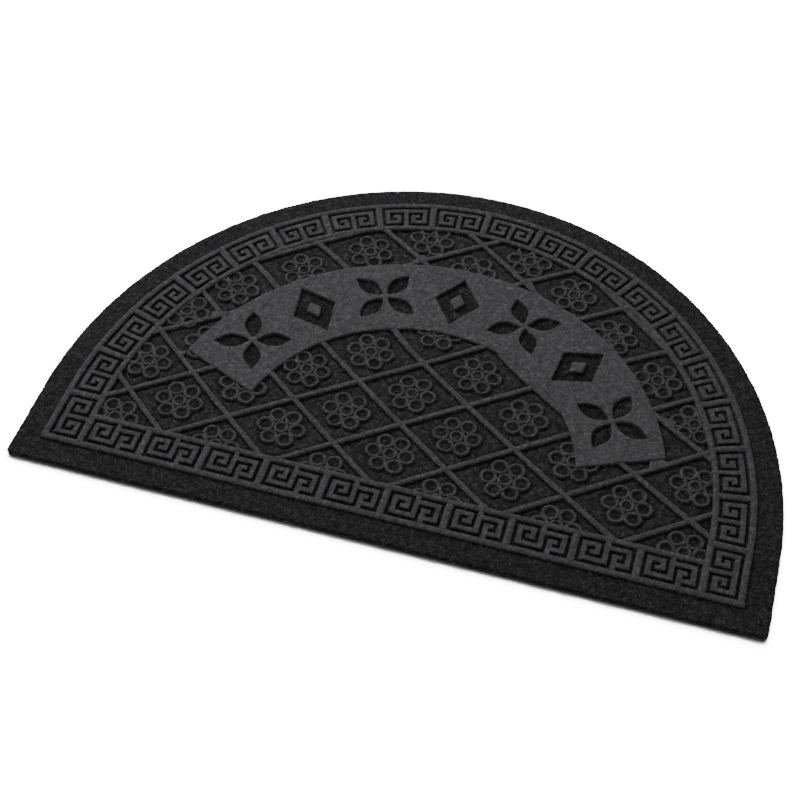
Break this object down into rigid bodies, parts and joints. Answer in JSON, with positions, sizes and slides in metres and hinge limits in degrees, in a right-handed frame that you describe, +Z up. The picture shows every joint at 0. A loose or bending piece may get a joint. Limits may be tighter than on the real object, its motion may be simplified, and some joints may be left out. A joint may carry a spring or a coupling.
{
  "type": "half-round doormat",
  "caption": "Flat half-round doormat of pressed fibre on a rubber backing, with a Greek key border, a flowered diamond lattice and an arched band.",
  "frame": {"origin": "on the floor, under the middle of the mat's bounding box", "axes": "+X along the straight edge, +Y from the straight edge towards the top of the arch, +Z up out of the pressed face"},
  "size_m": [0.6, 0.4, 0.008],
  "materials": {
    "pressed_fibre": "pressed needle-punched fibre, matt charcoal black with pale fibre flecks",
    "backing_rubber": "smooth black rubber sheet"
  },
  "bodies": {
    "root": {"fibre_mat": "pressed_fibre", "rubber_backing": "backing_rubber"}
  },
  "joints": []
}
